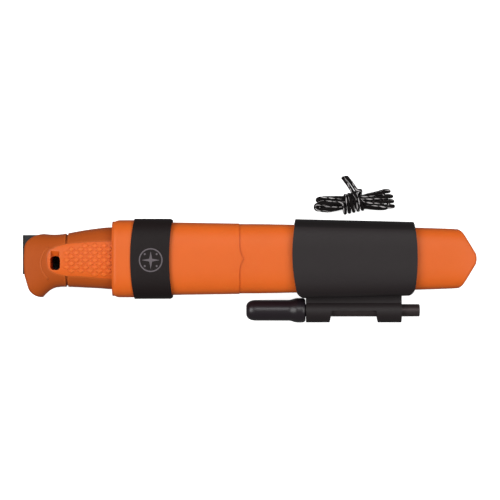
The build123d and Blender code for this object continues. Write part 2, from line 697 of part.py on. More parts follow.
# both ends leave the top of the wrap side by side and lie down over the table
tail_start_route = [(0.2, 5.2, 8.2), (-1.7, 8.2, 6.4), (-3.8, 11.4, 3.2), (-6.1, 14.6, 1.1)]
tail_end_route = [(2.3, 6.2, 7.6), (0.6, 9.1, 5.4), (-1.3, 12.1, 2.6), (-3.5, 15.2, 1.1)]
for name, route in (("cord_tail_start", tail_start_route), ("cord_tail_end", tail_end_route)):
    tail = cord_tube(route, corner_radii(route))
    tail.label = name
    export_step(tail, f"parts/{name}.step")
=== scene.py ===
"""Sheath knife with a fire-steel cover and a hank of cord, dressed around its fixed frame."""

import math
import random
import bmesh
import bpy
from mathutils import Matrix, Vector
from mathutils.bvhtree import BVHTree


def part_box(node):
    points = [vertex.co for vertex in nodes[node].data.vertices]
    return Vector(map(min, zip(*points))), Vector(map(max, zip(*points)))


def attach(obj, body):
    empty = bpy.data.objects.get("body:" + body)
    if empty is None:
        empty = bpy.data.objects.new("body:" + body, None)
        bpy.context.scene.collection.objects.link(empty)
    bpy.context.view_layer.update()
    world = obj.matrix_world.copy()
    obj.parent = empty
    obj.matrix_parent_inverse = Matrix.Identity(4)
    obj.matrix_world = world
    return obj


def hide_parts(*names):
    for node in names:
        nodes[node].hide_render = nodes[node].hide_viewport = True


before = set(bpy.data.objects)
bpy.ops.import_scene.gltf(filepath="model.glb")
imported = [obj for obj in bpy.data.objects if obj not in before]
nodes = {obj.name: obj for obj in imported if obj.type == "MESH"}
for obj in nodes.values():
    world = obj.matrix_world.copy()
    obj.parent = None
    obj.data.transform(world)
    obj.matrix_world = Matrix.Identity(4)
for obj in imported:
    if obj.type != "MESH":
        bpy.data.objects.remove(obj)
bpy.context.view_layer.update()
scene = bpy.context.scene
scene.view_settings.view_transform = "Standard"

# ---- Camera ------------------------------------------------------------------------------------------
# Straight down on the front face, from far enough away that the knife is seen almost without
# perspective. The view is a little wider than the sheathed knife is long.
mm = 0.001
sheath_lo, sheath_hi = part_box("sheath_body")
camera_height = 1400 * mm
view_width = 280 * mm
middle_z = (sheath_lo.z + sheath_hi.z) / 2
camera = bpy.data.objects.new("camera", bpy.data.cameras.new("camera"))
camera.data.lens = camera.data.sensor_width * camera_height / view_width
camera.data.clip_end = 10
tip_to_middle, middle_y = 126.35 * mm, 4.9 * mm
camera.location = (sheath_hi.x - tip_to_middle, middle_y, middle_z + camera_height)
scene.collection.objects.link(camera)
scene.camera = camera

# ---- Cord --------------------------------------------------------------------------------------------
# One 2 mm braided cord, black with light tracer yarns, its ends sealed by melting. It is folded to and
# fro into a hank, and its last stretch is wound round the middle, where both ends come out side by side.
cord_diameter = 2.0 * mm
hank_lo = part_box("cord_hank")[0]
left_end_to_middle, lower_side_to_middle = 22.0 * mm, 7.1 * mm
hank_middle = Vector((hank_lo.x + left_end_to_middle, hank_lo.y + lower_side_to_middle, 0))
random.seed(11)

# Places in the hank are in millimetres from its middle. The stretches across it stand in their order along
# the cord, each by its column, from +Y to -Y, and its row, from the table up.
stretches = [(2, 2), (2, 0), (0, 1), (2, 1), (0, 0), (0, 2), (1, 0), (1, 2), (3, 1), (1, 1), (3, 0), (3, 2)]
packed_y, packed_z = (2.6, 0.87, -0.87, -2.6), (3.4, 5.0, 6.6)
left_y, right_y = (2.3, 0.1, -2.2, -4.3), (5.9, 3.0, 0.2, -2.7)
loose_z = (1.05, 3.0, 4.95)
stagger_y, left_stagger = (0.8, -0.8, 0.1), 0.4
packed_half = 3.5
left_fan, right_fan = 10.0, 14.0
left_reach = {(2, 0): -18.1, (2, 1): -18.8, (0, 2): -20.2, (1, 2): -19.5, (1, 1): -17.7, (3, 2): -21.3}
right_reach = {(2, 2): 22.6, (0, 1): 18.4, (0, 0): 20.5, (1, 0): 22.0, (3, 1): 20.2, (3, 0): 23.0}


def lane(stretch, x):
    """A stretch's line at x: packed inside the winding, fanned out and down on the table at both ends."""
    column, row = stretch
    ends = left_y if x < 0 else right_y
    share = min(1.0, max(0.0, (abs(x) - packed_half) / (right_fan if x > 0 else left_fan)))
    loose = Vector((x, ends[column] + stagger_y[row] * (1.0 if x > 0 else left_stagger), loose_z[row]))
    return Vector((x, packed_y[column], packed_z[row])).lerp(loose, share)


def fold(a, b, reach):
    """The turn from the end of one stretch to the next, a half circle that comes out as far as reach."""
    a, b = lane(a, reach), lane(b, reach) if isinstance(b, tuple) else b
    radius = (b - a).length / 2
    part = radius * (1 - math.tan(math.pi / 8))
    corner = (b - a).normalized() * part
    inner, start = reach - math.copysign(part, reach), reach - math.copysign(2 * radius - part, reach)
    points = [a.copy(), a.copy(), a + corner, b - corner, b.copy(), b.copy()]
    for point, x in zip(points, (start, inner, reach, reach, inner, start)):
        point.x = x
    return points


# free end, over the winding, under its last turn and into the hank
route = [Vector(p) for p in (
    (-5.7, 14.1, 1.1), (-3.5, 11.2, 3.1), (-1.7, 8.2, 6.1), (-0.2, 5.6, 8.8), (1.3, 3.6, 10.2),
    (3.2, 1.4, 9.1), (5.3, -0.2, 8.0), (7.6, -0.7, 7.3),
)]
last_lane = Vector((left_reach[stretches[-1]], -1.2, 5.1))
folds = []
for number, stretch in enumerate(stretches):
    reach = left_reach[stretch] if number % 2 else right_reach[stretch]
    folds.append(fold(stretch, (stretches + [last_lane])[number + 1], reach))
# to and fro: the loose parts of a stretch wander a little, and its stops keep clear of its folds
stops = (-14.0, -9.5, -5.0, 0.0, 5.0, 9.5, 14.0)
wander, loose_from, clear_of_fold, first_stretch_from = 0.3, 9.0, 1.6, 9.0
for number, stretch in enumerate(stretches):
    begin = folds[number - 1][-1].x if number else first_stretch_from
    end = folds[number][0].x
    for x in stops[::-1 if number % 2 else 1]:
        if min(begin, end) + clear_of_fold < x < max(begin, end) - clear_of_fold:
            aside = random.uniform(-wander, wander) if abs(x) > loose_from else 0.0
            route.append(lane(stretch, x) + Vector((0, aside, 0)))
    route += folds[number]

# out of the left end, up on to the hank and round into the winding
route += [Vector(p) for p in (
    (-14.5, -1.0, 5.5), (-10.5, -0.5, 6.9), (-7.7, -0.4, 8.3), (-6.1, -0.8, 8.9), (-5.5, -2.4, 8.9),
)]
# The winding: each turn goes over the top from +Y to -Y and lies beside the last, a little further along
# and leaning a little more. The last turn is lifted over the free end that passes under it.
turns, turn_points = 4.45, 14
first_angle = math.radians(143)
winding_start, winding_pitch, winding_drift = -5.1, 2.2, 2.4
winding_half_y, winding_half_z, winding_middle = 5.0, 4.0, Vector((0, -0.1, 5.0))
first_lean, more_lean = 0.4, 0.27
lift, lifted_turn, lifted_half = 2.0, 3.83, 0.34
for step in range(round(turns * turn_points) + 1):
    done = step / turn_points
    angle = first_angle + 2 * math.pi * done
    over_tail = lift * max(0.0, math.sin(angle)) * max(0.0, 1 - abs(done - lifted_turn) / lifted_half)
    route.append(winding_middle + Vector((
        winding_start + winding_pitch * done - (first_lean + more_lean * done) * math.cos(angle),
        winding_half_y * math.cos(angle) + winding_drift * (done / turns - 0.5),
        winding_half_z * math.sin(angle) + over_tail,
    )))
# up the far side, round over the shoulder of the winding and down beside the other end
route += [Vector(p) for p in (
    (4.4, 5.9, 3.4), (4.4, 6.5, 5.6), (4.0, 6.7, 7.8), (2.9, 6.4, 9.3), (1.5, 7.0, 8.9),
    (0.4, 9.0, 6.6), (-1.4, 11.9, 3.2), (-3.4, 14.4, 1.1),
)]


def cord_line(bevel):
    """The route as one smooth line, with the cord's round section where bevel is given, as a mesh."""
    curve = bpy.data.curves.new("cord_line", "CURVE")
    curve.dimensions = "3D"
    curve.resolution_u = 8
    curve.bevel_depth = bevel
    curve.bevel_resolution = 3
    spline = curve.splines.new("NURBS")
    spline.points.add(len(route) - 1)
    for point, place in zip(spline.points, route):
        point.co = (*(hank_middle + place * mm), 1)
    spline.order_u = 3
    spline.use_endpoint_u = True
    line = bpy.data.objects.new("cord_line", curve)
    mesh = bpy.data.meshes.new_from_object(line)
    bpy.data.objects.remove(line)
    return mesh


path = [v.co.copy() for v in cord_line(0).vertices]
run = [0.0]
for a, b in zip(path, path[1:]):
    run.append(run[-1] + (b - a).length)

cord_mesh = cord_line(cord_diameter / 2)
around = len(cord_mesh.vertices) // len(path)

# each ring of the tube knows how far along the cord it is, and each point where it is round the cord
lay = cord_mesh.attributes.new("lay", "FLOAT_VECTOR", "POINT")
for number in range(len(cord_mesh.vertices)):
    turn = 2 * math.pi * (number % around) / around
    lay.data[number].vector = (math.cos(turn), math.sin(turn), run[number // around])
for name in [layer.name for layer in cord_mesh.uv_layers]:
    cord_mesh.uv_layers.remove(cord_mesh.uv_layers[name])
# the melted ends: each draws in to a small round tip, ring by ring
tip_rings = ((0.3 * mm, 0.86), (0.25 * mm, 0.6))
near_tip = 1.2 * cord_diameter
bm = bmesh.new()
bm.from_mesh(cord_mesh)
for tip, inward in ((path[0], path[1] - path[0]), (path[-1], path[-2] - path[-1])):
    rim = [e for e in bm.edges if e.is_boundary and (e.verts[0].co - tip).length < near_tip]
    for out, size in tip_rings:
        grown = bmesh.ops.extrude_edge_only(bm, edges=rim)["geom"]
        ring = [v for v in grown if isinstance(v, bmesh.types.BMVert)]
        rim = [e for e in grown if isinstance(e, bmesh.types.BMEdge) and e.is_boundary]
        middle = sum((v.co for v in ring), Vector()) / len(ring)
        bmesh.ops.scale(bm, verts=ring, vec=(size,) * 3, space=Matrix.Translation(-middle))
        bmesh.ops.translate(bm, verts=ring, vec=inward.normalized() * -out)
    bmesh.ops.holes_fill(bm, edges=rim)
bmesh.ops.recalc_face_normals(bm, faces=bm.faces)
for face in bm.faces:
    face.smooth = True
bm.to_mesh(cord_mesh)
bm.free()
cord = bpy.data.objects.new("hank_cord", cord_mesh)
scene.collection.objects.link(cord)


def new_material(name, **settings):
    """A new material with its shader's plain settings, and the tree and shader to work on."""
    material = bpy.data.materials.new(name)
    material.use_nodes = True
    shader = material.node_tree.nodes["Principled BSDF"]
    for socket, value in settings.items():
        shader.inputs[socket.replace("_", " ")].default_value = value
    return material, material.node_tree, shader


def node(tree, kind, *inputs, **settings):
    """A node of that kind. Inputs are values or other nodes' outputs in the order of its sockets."""
    made = tree.nodes.new("ShaderNode" + kind)
    for name, value in settings.items():
        setattr(made, name, value)
    for socket, value in zip([s for s in made.inputs if s.enabled], inputs):
        if isinstance(value, bpy.types.NodeSocket):
            tree.links.new(value, socket)
        elif value is not None:
            socket.default_value = value
    return made.outputs[0]


def sums(tree, operation, *inputs):
    """A Math node's result."""
    return node(tree, "Math", *inputs, operation=operation)


def mix(tree, share, first, second):
    """Colour first, turning to second as share goes from nothing to one."""
    made = tree.nodes.new("ShaderNodeMix")
    made.data_type = "RGBA"
    for socket, value in zip((made.inputs[0], made.inputs[6], made.inputs[7]), (share, first, second)):
        if isinstance(value, bpy.types.NodeSocket):
            tree.links.new(value, socket)
        else:
            socket.default_value = (*value, 1)
    return made.outputs[2]


def mix_value(tree, share, first, second):
    """Value first, turning to second as share goes from nothing to one."""
    return sums(tree, "ADD", sums(tree, "MULTIPLY", share, sums(tree, "SUBTRACT", second, first)), first)


def own_place(tree):
    """The place on the piece, in metres."""
    return tree.nodes.new("ShaderNodeTexCoord").outputs["Object"]


def bump(tree, height, depth):
    """A bumped normal where a height of one stands depth above nothing."""
    made = tree.nodes.new("ShaderNodeBump")
    made.inputs["Distance"].default_value = depth
    tree.links.new(height, made.inputs["Height"])
    return made.outputs[0]


fibre, tree, shader = new_material("cord_braid", Roughness=0.75, Specular_IOR_Level=0.12, Sheen_Weight=0.05)
shader.inputs["Sheen Tint"].default_value = (0.6, 0.58, 0.58, 1)
laid = tree.nodes.new("ShaderNodeAttribute")
laid.attribute_name = "lay"
parts = tree.nodes.new("ShaderNodeSeparateXYZ")
tree.links.new(laid.outputs["Vector"], parts.inputs[0])
turned = sums(tree, "DIVIDE", sums(tree, "ARCTAN2", parts.outputs[1], parts.outputs[0]), 2 * math.pi)
# eight yarns each way cross every 0.8 mm along the cord
yarns_each_way, braid_rise = 8, 6.4 * mm
advance = sums(tree, "DIVIDE", parts.outputs[2], braid_rise)
yarn_angle = 2 * math.pi * yarns_each_way
left_yarns = sums(tree, "SINE", sums(tree, "MULTIPLY", sums(tree, "ADD", turned, advance), yarn_angle))
right_yarns = sums(tree, "SINE", sums(tree, "MULTIPLY", sums(tree, "SUBTRACT", turned, advance), yarn_angle))
bumps = sums(tree, "MULTIPLY", left_yarns, right_yarns)
# two light tracer yarns show as slanting flecks on opposite sides, each pair further round the cord
fleck_every, fleck_half_turn, fleck_taper, fleck_slant, next_turn = 4.6 * mm, 0.056, 0.27, 0.16, 0.618
quarter = 0.25
cells = sums(tree, "DIVIDE", parts.outputs[2], fleck_every)
cell = sums(tree, "FLOOR", cells)
within = sums(tree, "SUBTRACT", sums(tree, "FRACT", cells), 0.5)
fleck_turn = sums(tree, "MULTIPLY_ADD", within, fleck_slant, sums(tree, "MULTIPLY", cell, next_turn))
from_fleck = sums(tree, "WRAP", sums(tree, "SUBTRACT", turned, fleck_turn), quarter, -quarter)
off_turn = sums(tree, "ABSOLUTE", from_fleck)
off_middle = sums(tree, "POWER", sums(tree, "ABSOLUTE", within), 2.0)
half_width = sums(tree, "MULTIPLY_ADD", off_middle, -fleck_taper, fleck_half_turn)
fleck = sums(tree, "LESS_THAN", off_turn, half_width)
# painted shade: the braid and its flecks are darker between the yarns than on them
fleck = sums(tree, "MULTIPLY", fleck, node(tree, "MapRange", bumps, -1.0, 0.2, 0.7, 1.0))
shade_between_yarns, on_yarns, tracer_white = (0.003, 0.002, 0.002), (0.010, 0.0075, 0.0075), (0.60, 0.57, 0.57)
dark = mix(tree, node(tree, "MapRange", bumps, -1.0, 1.0, 0.0, 1.0), shade_between_yarns, on_yarns)
tree.links.new(mix(tree, fleck, dark, tracer_white), shader.inputs["Base Color"])
fuzz = node(tree, "TexNoise", own_place(tree), 9000.0, 2.0)
height = sums(tree, "MULTIPLY_ADD", fuzz, 0.5, bumps)
tree.links.new(bump(tree, height, 0.09 * mm), shader.inputs["Normal"])
cord_mesh.materials.append(fibre)
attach(cord, "cord")
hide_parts("cord_hank", "cord_tail_start", "cord_tail_end")

# ---- Floor and light ---------------------------------------------------------------------------------
# A plain white table, lit by a large softbox at each end of the knife, the left one stronger, and by a
# weak one overhead. The table's light doesn't reach the pieces, so their long sides fall away darker.
floor_half, floor_gap = 1.5, 0.05 * mm
bm = bmesh.new()
bmesh.ops.create_grid(bm, x_segments=1, y_segments=1, size=floor_half)
bmesh.ops.translate(bm, verts=bm.verts, vec=(camera.location.x, 0, -floor_gap))
floor_mesh = bpy.data.meshes.new("floor")
bm.to_mesh(floor_mesh)
bm.free()
floor = bpy.data.objects.new("floor", floor_mesh)
scene.collection.objects.link(floor)
floor.visible_diffuse = False
floor.visible_glossy = False
white, tree, shader = new_material(
    "table_white", Roughness=0.9, Specular_IOR_Level=0.0, Emission_Strength=0.85,
)
shader.inputs["Base Color"].default_value = (0.86, 0.86, 0.86, 1)
shader.inputs["Emission Color"].default_value = (1, 1, 1, 1)
floor_mesh.materials.append(white)

aim = Vector((0.10, 0, 0.02))
for name, place, size, power in (
    ("softbox_left", (-0.78, 0.10, 1.12), 0.9, 12.2),
    ("softbox_right", (1.00, 0.10, 1.12), 0.9, 8.7),
    ("softbox_over", (0.18, 0.40, 1.25), 0.35, 2.6),
):
    lamp = bpy.data.lights.new(name, "AREA")
    lamp.shape = "SQUARE"
    lamp.size = size
    lamp.energy = power
    light = bpy.data.objects.new(name, lamp)
    light.location = place
    light.rotation_euler = (Vector(place) - aim).to_track_quat("Z", "Y").to_euler()
    light.visible_camera = False
    scene.collection.objects.link(light)
world = bpy.data.worlds.new("studio")
world.use_nodes = True
world.node_tree.nodes["Background"].inputs["Color"].default_value = (1, 1, 1, 1)
world.node_tree.nodes["Background"].inputs["Strength"].default_value = 0.2
scene.world = world

# ---- Sheath ------------------------------------------------------------------------------------------
# Injection-moulded in one piece from orange polypropylene with a fine spark-etched skin. The mould's
# parting line runs round its narrow edge as a thin ridge, and handling has polished it a little.


def edge_share(tree, radius):
    """How near a point is to an outer edge: nothing on a flat or even curve, and one at a corner."""
    bevelled = tree.nodes.new("ShaderNodeBevel")
    bevelled.samples = 6
    bevelled.inputs["Radius"].default_value = radius
    facing = tree.nodes.new("ShaderNodeVectorMath")
    facing.operation = "DOT_PRODUCT"
    tree.links.new(bevelled.outputs[0], facing.inputs[0])
    tree.links.new(tree.nodes.new("ShaderNodeNewGeometry").outputs["Normal"], facing.inputs[1])
    return node(tree, "MapRange", facing.outputs["Value"], 1.0, 0.86, 0.0, 1.0)


def moulded(name, colour, edge_colour, roughness, grain, depth, drift=0.06, edge=0.35 * mm, hollow_shade=0.7,
            reach=2 * mm, **settings):
    """A moulded polymer: a colour that drifts slowly, a fine skin, polished corners painted towards the edge
    colour, partly wear and partly painted highlight, and painted shade in hollows.
    """
    material, tree, shader = new_material(name, **settings)
    place = own_place(tree)
    slow = node(tree, "TexNoise", place, 28.0, 3.0, 0.55)
    deep = tuple(c * (1 - 2 * drift) for c in colour)
    toned = mix(tree, slow, deep, tuple(c * (1 + drift) for c in colour))
    # the corners are painted towards the edge colour, partly for wear and partly as painted highlight
    wear_and_highlight = edge_share(tree, edge)
    toned = mix(tree, sums(tree, "MULTIPLY", wear_and_highlight, 0.55), toned, edge_colour)
    # painted shade: hollows and creases are darkened towards a quarter of the colour
    hollow = tree.nodes.new("ShaderNodeAmbientOcclusion")
    hollow.samples = 8
    hollow.inputs["Distance"].default_value = reach
    shaded_hollows = node(tree, "MapRange", hollow.outputs["AO"], 0.2, 0.9, hollow_shade, 0.0)
    toned = mix(tree, shaded_hollows, toned, tuple(c * 0.25 for c in colour))
    tree.links.new(toned, shader.inputs["Base Color"])
    fine = node(tree, "TexNoise", place, grain, 3.0, 0.6)
    rough = sums(tree, "MULTIPLY_ADD", fine, 0.16, roughness - 0.08)
    tree.links.new(sums(tree, "MULTIPLY_ADD", wear_and_highlight, -0.12, rough), shader.inputs["Roughness"])
    tree.links.new(bump(tree, fine, depth), shader.inputs["Normal"])
    return material, tree, shader, fine


# its corners are painted a little redder as painted light, and a faint painted shade darkens its hollows
sheath_orange, tree, shader, skin = moulded(
    "sheath_orange", (0.78, 0.135, 0.012), (0.80, 0.125, 0.010), 0.46, 2600.0, 0.03 * mm, hollow_shade=0.3,
    Specular_IOR_Level=0.3, Subsurface_Weight=0.06, Subsurface_Scale=0.6 * mm,
)
heights = tree.nodes.new("ShaderNodeSeparateXYZ")
tree.links.new(own_place(tree), heights.inputs[0])
off_line = sums(tree, "ABSOLUTE", sums(tree, "SUBTRACT", heights.outputs[2], middle_z))
parting_ridge = node(tree, "MapRange", off_line, 0.05 * mm, 0.2 * mm, 3.0, 0.0)
tree.links.new(bump(tree, sums(tree, "ADD", skin, parting_ridge), 0.03 * mm), shader.inputs["Normal"])
nodes["sheath_body"].material_slots[0].material = sheath_orange

# ---- Carrier band and its badge ----------------------------------------------------------------------
# A black moulded rubber-like band pressed on to the sheath beside its collar. Its badge, a four-point
# compass star in a ring, is printed in grey and stands a hair above the band.
band_lo, band_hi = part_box("carrier_band")
nodes["carrier_band"].material_slots[0].material = moulded(
    "band_black", (0.0105, 0.0062, 0.0062), (0.028, 0.022, 0.022), 0.55, 1900.0, 0.035 * mm,
    Specular_IOR_Level=0.2,
)[0]

badge_middle = Vector(((band_lo.x + band_hi.x) / 2 - 0.2 * mm, -0.7 * mm))
ring_radius, ring_width, star_radius, star_waist = 6.6 * mm, 0.7 * mm, 5.0 * mm, 1.1 * mm
dot_radius, dot_place = 0.55 * mm, 3.3 * mm
badge_stand, longest_edge = 0.06 * mm, 1.2 * mm
bm = bmesh.new()
bmesh.ops.create_circle(bm, segments=96, radius=ring_radius)
inside = bmesh.ops.extrude_edge_only(bm, edges=bm.edges[:])["geom"]
inner = [v for v in inside if isinstance(v, bmesh.types.BMVert)]
bmesh.ops.scale(bm, verts=inner, vec=(1 - ring_width / ring_radius,) * 2 + (1,))
star = bmesh.ops.create_circle(bm, segments=8, radius=star_radius, cap_ends=True)["verts"]
bmesh.ops.scale(bm, verts=star[1::2], vec=(star_waist / star_radius,) * 2 + (1,))
for side_x, side_y in ((1, 1), (-1, 1), (-1, -1), (1, -1)):
    bmesh.ops.create_circle(bm, segments=24, radius=dot_radius, cap_ends=True,
                            matrix=Matrix.Translation((side_x * dot_place, side_y * dot_place, 0)))
# the flat print is cut fine enough to follow the band's curve
bmesh.ops.triangulate(bm, faces=[f for f in bm.faces if len(f.verts) > 4])
bmesh.ops.subdivide_edges(bm, edges=[e for e in bm.edges if e.calc_length() > longest_edge], cuts=3,
                          use_grid_fill=True)
bmesh.ops.triangulate(bm, faces=bm.faces)
bmesh.ops.recalc_face_normals(bm, faces=bm.faces)


def surface_of(*names):
    """A tree of these CAD nodes' faces to cast rays at."""
    joined = bmesh.new()
    for name in names:
        joined.from_mesh(nodes[name].data)
    found = BVHTree.FromBMesh(joined)
    joined.free()
    return found


band_surface = surface_of("carrier_band")
cast_from = 100 * mm
well_above, down = Vector((0, 0, cast_from)), Vector((0, 0, -1))
for v in bm.verts:
    under = band_surface.ray_cast(badge_middle.to_3d() + v.co + well_above, down)
    v.co = under[0] + under[1] * badge_stand
for face in bm.faces:
    if face.normal.z < 0:
        face.normal_flip()
# the print has an edge of its own thickness, let into the band
skirt = bmesh.ops.extrude_edge_only(bm, edges=[e for e in bm.edges if e.is_boundary])["geom"]
bmesh.ops.translate(bm, verts=[v for v in skirt if isinstance(v, bmesh.types.BMVert)],
                    vec=down * 3 * badge_stand)
badge_mesh = bpy.data.meshes.new("band_badge")
bm.to_mesh(badge_mesh)
bm.free()
badge = bpy.data.objects.new("band_badge", badge_mesh)
scene.collection.objects.link(badge)
badge_mesh.materials.append(moulded(
    "badge_grey", (0.118, 0.096, 0.108), (0.15, 0.13, 0.14), 0.6, 3000.0, 0.02 * mm, drift=0.1,
)[0])
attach(badge, "sheath")

# ---- Belt loop and rivets ----------------------------------------------------------------------------
# A black polymer strap behind the sheath and the knife's butt, embossed like leather. Two blackened
# steel rivets hold it to the band, and their heads keep the marks of the setting tool.
strap_black, tree, shader, skin = moulded(
    "strap_black", (0.017, 0.016, 0.016), (0.045, 0.043, 0.043), 0.6, 1400.0, 0.02 * mm,
    Specular_IOR_Level=0.4,
)
pores = tree.nodes.new("ShaderNodeTexVoronoi")
pores.feature = "DISTANCE_TO_EDGE"
pores.inputs["Scale"].default_value = 900.0
tree.links.new(own_place(tree), pores.inputs["Vector"])
pebbles = node(tree, "MapRange", pores.outputs["Distance"], 0.0, 0.18, 0.0, 1.0)
tree.links.new(bump(tree, sums(tree, "ADD", pebbles, skin), 0.08 * mm), shader.inputs["Normal"])
nodes["belt_loop"].material_slots[0].material = strap_black

rivet_dark, tree, shader = new_material("rivet_dark", Metallic=1.0)
place = own_place(tree)
across = node(tree, "Mapping", place, None, None, (1, 8, 1))
turned_marks = node(tree, "TexNoise", across, 2200.0, 3.0, 0.6)
patches = node(tree, "TexNoise", place, 420.0, 4.0, 0.6)
tree.links.new(mix(tree, patches, (0.16, 0.16, 0.17), (0.42, 0.42, 0.43)), shader.inputs["Base Color"])
tree.links.new(sums(tree, "MULTIPLY_ADD", turned_marks, 0.25, 0.25), shader.inputs["Roughness"])
tree.links.new(bump(tree, turned_marks, 0.01 * mm), shader.inputs["Normal"])
nodes["belt_loop_rivets"].material_slots[0].material = rivet_dark

# ---- Blade -------------------------------------------------------------------------------------------
# Stainless strip ground from flat stock. The flats are rolled and brushed lengthwise, and the wide
# bevel carries the grinding belt's fine marks square to its edge.
bevel_height = 10.5 * mm
grind_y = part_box("blade")[0].y + bevel_height
blade_satin, tree, shader = new_material("blade_satin", Metallic=1.0, Anisotropic=0.35)
place = own_place(tree)
lengthwise = node(tree, "Mapping", place, None, None, (0.03, 1, 1))
crosswise = node(tree, "Mapping", place, None, None, (1, 0.03, 0.03))
brushed = node(tree, "TexNoise", lengthwise, 9000.0, 4.0, 0.65)
belt = node(tree, "TexNoise", crosswise, 9000.0, 4.0, 0.65)
heights = tree.nodes.new("ShaderNodeSeparateXYZ")
tree.links.new(place, heights.inputs[0])
on_bevel = node(tree, "MapRange", heights.outputs[1], grind_y + 0.05 * mm, grind_y - 0.05 * mm, 0.0, 1.0)
marks = mix_value(tree, on_bevel, brushed, belt)
tree.links.new(mix(tree, marks, (0.56, 0.56, 0.56), (0.66, 0.66, 0.65)), shader.inputs["Base Color"])
tree.links.new(sums(tree, "MULTIPLY_ADD", marks, 0.2, 0.2), shader.inputs["Roughness"])
tree.links.new(bump(tree, marks, 0.0012 * mm), shader.inputs["Normal"])
nodes["blade"].material_slots[0].material = blade_satin

# ---- Handle core and its diamond grip ----------------------------------------------------------------
# The hard core is moulded first, in the sheath's orange. Low diamonds in staggered rows give the panel
# its grip on both sides, from the lanyard slot on, and the panel's rims are painted a little lighter,
# partly for wear and partly as painted highlight.
core_lo, core_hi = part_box("handle_core")
nodes["handle_core"].material_slots[0].material = moulded(
    "core_orange", (0.76, 0.126, 0.008), (0.90, 0.20, 0.05), 0.42, 2400.0, 0.02 * mm, edge=1.1 * mm,
    Specular_IOR_Level=0.33, Subsurface_Weight=0.06, Subsurface_Scale=0.6 * mm,
)[0]

diamond_length, diamond_width, diamond_stand = 4.2 * mm, 3.0 * mm, 0.45 * mm
pitch_x, pitch_y, rows_middle = 5.2 * mm, 2.0 * mm, -0.7 * mm
butt_to_slot, slot_half_length, slot_to_diamonds = 17.9 * mm, 2.75 * mm, 3.4 * mm
rows_each_way, most_columns, diamonds_to_core_end = 6, 18, 10 * mm
first_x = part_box("grip_overmould")[0].x + butt_to_slot + slot_half_length + slot_to_diamonds
last_x = core_hi.x - diamonds_to_core_end
let_in, same_surface = 0.02 * mm, 0.02 * mm
# a stud's four corners and a small margin, as shares of its length and width
stud_reach = ((-0.56, 0), (0.56, 0), (0, -0.62), (0, 0.62))
panel_surface = surface_of("handle_core")
handle_surface = surface_of("handle_core", "grip_overmould")
# one stud: a flat diamond, its flanks and its softened top, kept as rings at rising heights
stud = bmesh.new()
bmesh.ops.create_circle(stud, segments=4, radius=1, cap_ends=True)
bmesh.ops.scale(stud, verts=stud.verts, vec=(diamond_length / 2, diamond_width / 2, 1))
stud.normal_update()
top = stud.faces[:]
for inset, rise in ((0.32 * mm, 0.82), (0.16 * mm, 0.18)):
    bmesh.ops.inset_region(stud, faces=top, thickness=inset, use_boundary=True)
    bmesh.ops.translate(stud, verts=top[0].verts, vec=(0, 0, diamond_stand * rise))
bmesh.ops.bevel(stud, geom=[e for e in stud.edges if not e.is_boundary], offset=0.08 * mm, segments=1,
                profile=0.5, affect="EDGES", material=-1)
stud_mesh = bpy.data.meshes.new("stud")
stud.to_mesh(stud_mesh)
stud.free()
diamonds = bmesh.new()
for side in (1, -1):
    above = Vector((0, 0, side))
    for row in range(-rows_each_way, rows_each_way + 1):
        for column in range(most_columns):
            spot = Vector((first_x + pitch_x * (column + row % 2 / 2), rows_middle + pitch_y * row, 0))
            # a stud is left out where it would stand past the panel's rim
            corners = [spot + Vector((x * diamond_length, y * diamond_width, 0)) + above * cast_from
                       for x, y in stud_reach]
            casts = [[surface.ray_cast(corner, -above)[0] for surface in (panel_surface, handle_surface)]
                     for corner in corners]
            if spot.x > last_x or any(a is None or (a - b).length > same_surface for a, b in casts):
                continue
            before = len(diamonds.verts)
            diamonds.from_mesh(stud_mesh)
            for v in list(diamonds.verts)[before:]:
                start = spot + Vector((v.co.x, v.co.y * side, 0)) + above * cast_from
                under = panel_surface.ray_cast(start, -above)
                v.co = under[0] + under[1] * (v.co.z - let_in)
diamond_mesh = bpy.data.meshes.new("diamond_grip")
diamonds.to_mesh(diamond_mesh)
diamonds.free()
diamond_grip = bpy.data.objects.new("diamond_grip", diamond_mesh)
scene.collection.objects.link(diamond_grip)
# the studs are painted a little lighter than the core they are moulded in, as painted light on their raised
# tops
diamond_mesh.materials.append(moulded(
    "stud_orange", (0.83, 0.148, 0.014), (0.90, 0.20, 0.05), 0.42, 2400.0, 0.02 * mm, edge=0.2 * mm,
    reach=1 * mm, Specular_IOR_Level=0.33, Subsurface_Weight=0.06, Subsurface_Scale=0.6 * mm,
)[0])
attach(diamond_grip, "knife")

# ---- Overmould ---------------------------------------------------------------------------------------
# Soft rubber-like grip in a darker, browner orange, moulded round the core. It is dull and slightly
# pebbled, with painted shade in the groove at the waist and beside the panel, and its edges are painted
# lighter, partly for wear and partly as painted highlight.
grip_rubber = moulded(
    "grip_rubber", (0.465, 0.079, 0.005), (0.66, 0.14, 0.02), 0.62, 1700.0, 0.05 * mm, edge=1.4 * mm,
    hollow_shade=0.9, reach=1.2 * mm, Specular_IOR_Level=0.22, Sheen_Weight=0.04,
)[0]
nodes["grip_overmould"].material_slots[0].material = grip_rubber

